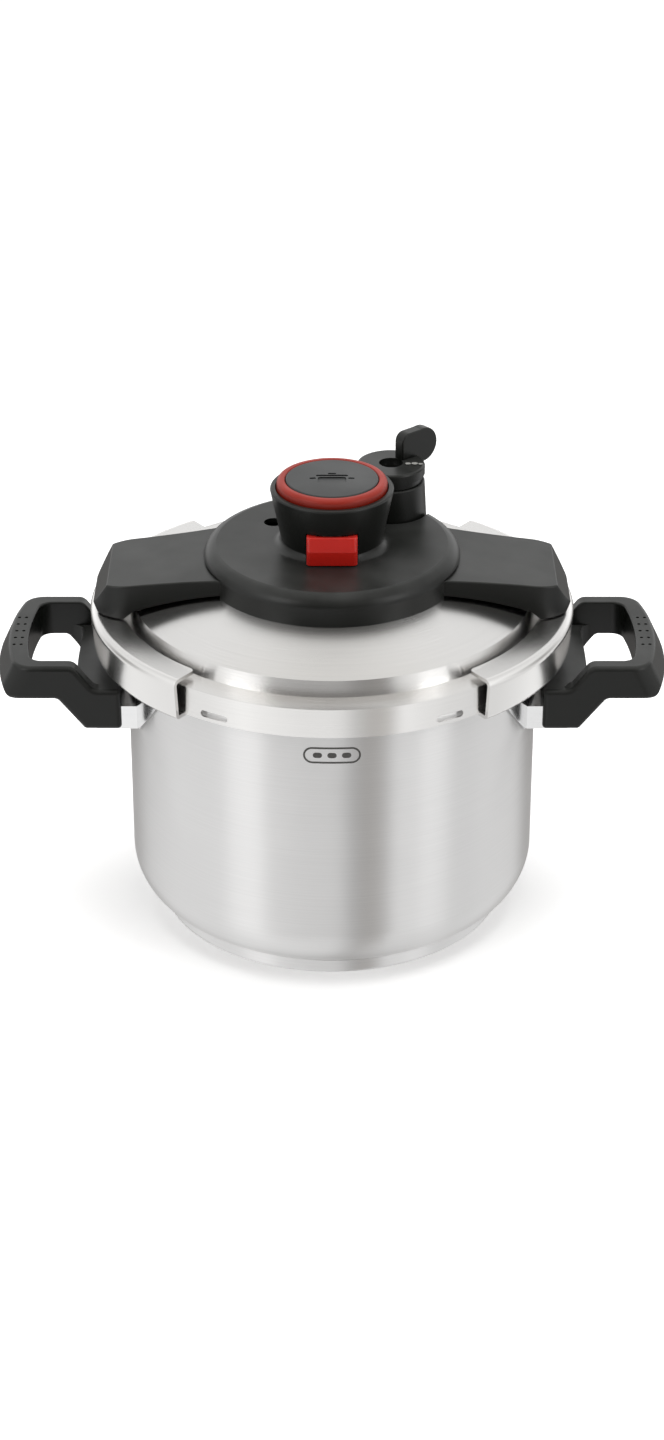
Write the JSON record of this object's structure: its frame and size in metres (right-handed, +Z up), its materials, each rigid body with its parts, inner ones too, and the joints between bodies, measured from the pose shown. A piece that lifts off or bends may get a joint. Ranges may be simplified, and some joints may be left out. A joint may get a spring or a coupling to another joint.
{
  "type": "stovetop pressure cooker",
  "caption": "Stovetop pressure cooker with a clamp-on domed lid, press-down knob, red opening button, steam selector and loop handles.",
  "frame": {"origin": "centre of the underside of the pot's base, on the surface it stands on", "axes": "+Z up; the handles lie along X; the red opening button faces -Y"},
  "size_m": [0.3612, 0.245, 0.2538],
  "materials": {
    "brushed_pot": "satin stainless, fine vertical brushing",
    "polished_lid": "satin stainless, brushed in circles",
    "clamp_steel": "satin stainless pressed sheet",
    "bright_steel": "bright stainless",
    "aluminium_core": "plain aluminium",
    "zinc_fastener": "plated steel fastener",
    "spring_steel": "drawn spring wire",
    "black_phenolic": "fine-textured black phenolic moulding",
    "black_housing": "fine-textured black moulding",
    "cap_grey": "dark grey satin moulding",
    "ring_red": "red satin moulding",
    "button_red": "glossy red moulding",
    "inner_nylon": "natural nylon",
    "grey_silicone": "grey silicone rubber"
  },
  "bodies": {
    "pot": {"pot_body": "brushed_pot", "pot_rim": "brushed_pot", "base_core": "aluminium_core", "base_cap": "brushed_pot", "bracket_left": "bright_steel", "bracket_right": "bright_steel", "handle_left": "black_phenolic", "handle_right": "black_phenolic", "handle_screws": "zinc_fastener"},
    "lid": {"lid_shell": "polished_lid", "gasket": "grey_silicone", "guide_plate": "clamp_steel", "center_bolt": "zinc_fastener", "center_nut": "zinc_fastener", "housing_cover": "black_housing", "housing_screws": "zinc_fastener", "knob_body": "black_housing", "spring_posts": "zinc_fastener", "return_springs": "spring_steel", "steam_tube": "bright_steel", "steam_tube_nut": "zinc_fastener", "valve_column": "black_housing", "valve_spring": "spring_steel", "safety_valve_body": "bright_steel", "safety_valve_cap": "bright_steel", "safety_valve_nut": "zinc_fastener", "safety_valve_spring": "spring_steel", "indicator_seal": "grey_silicone"},
    "knob": {"knob_cap": "cap_grey", "knob_ring": "ring_red", "plunger": "inner_nylon", "plunger_screws": "zinc_fastener", "cam_plate": "clamp_steel"},
    "button": {"open_button": "button_red", "latch_plate": "clamp_steel", "button_springs": "spring_steel"},
    "selector": {"valve_dial": "black_housing", "selector_lever": "black_housing"},
    "valve_weight": {"valve_weight": "bright_steel"},
    "indicator": {"pressure_indicator": "black_housing", "indicator_clip": "bright_steel"},
    "safety_piston": {"safety_valve_piston": "bright_steel"},
    "clamp_left": {"jaw_left": "clamp_steel", "jaw_arm_left": "clamp_steel", "cam_pin_left": "bright_steel", "jaw_rivets_left": "zinc_fastener", "arm_cover_left": "black_housing"},
    "clamp_right": {"jaw_right": "clamp_steel", "jaw_arm_right": "clamp_steel", "cam_pin_right": "bright_steel", "jaw_rivets_right": "zinc_fastener", "arm_cover_right": "black_housing"}
  },
  "joints": [
    {"name": "lid_lift", "type": "slide", "parent": "pot", "child": "lid", "axis": [0, 0, 1], "range_m": [0, 0.12]},
    {"name": "knob_press", "type": "slide", "parent": "lid", "child": "knob", "axis": [0, 0, 1], "range_m": [-0.0019, 0.006], "deforming": ["return_springs"]},
    {"name": "clamp_left_slide", "type": "slide", "parent": "lid", "child": "clamp_left", "axis": [-1, 0, 0], "range_m": [-0.0032, 0.01]},
    {"name": "clamp_right_slide", "type": "slide", "parent": "lid", "child": "clamp_right", "axis": [1, 0, 0], "range_m": [-0.0032, 0.01]},
    {"name": "button_push", "type": "slide", "parent": "lid", "child": "button", "axis": [0, 1, 0], "range_m": [0, 0.0035], "stiffness_N_per_m": 600, "springref_m": -0.003},
    {"name": "selector_turn", "type": "hinge", "parent": "lid", "child": "selector", "pos_m": [0.032, 0.0435, 0.235], "axis": [0, 0, 1], "range_deg": [-90, 30]},
    {"name": "weight_lift", "type": "slide", "parent": "lid", "child": "valve_weight", "axis": [0, 0, 1], "range_m": [0, 0.002], "stiffness_N_per_m": 400, "springref_m": -0.002, "deforming": ["valve_spring"]},
    {"name": "indicator_rise", "type": "slide", "parent": "lid", "child": "indicator", "axis": [0, 0, 1], "range_m": [0, 0.0045]},
    {"name": "safety_lift", "type": "slide", "parent": "lid", "child": "safety_piston", "axis": [0, 0, 1], "range_m": [0, 0.002], "stiffness_N_per_m": 800, "springref_m": -0.002, "deforming": ["safety_valve_spring"]}
  ],
  "couplings": [
    {"joint": "clamp_left_slide", "follows": "knob_press", "ratio": 1.6667},
    {"joint": "clamp_right_slide", "follows": "knob_press", "ratio": 1.6667}
  ]
}
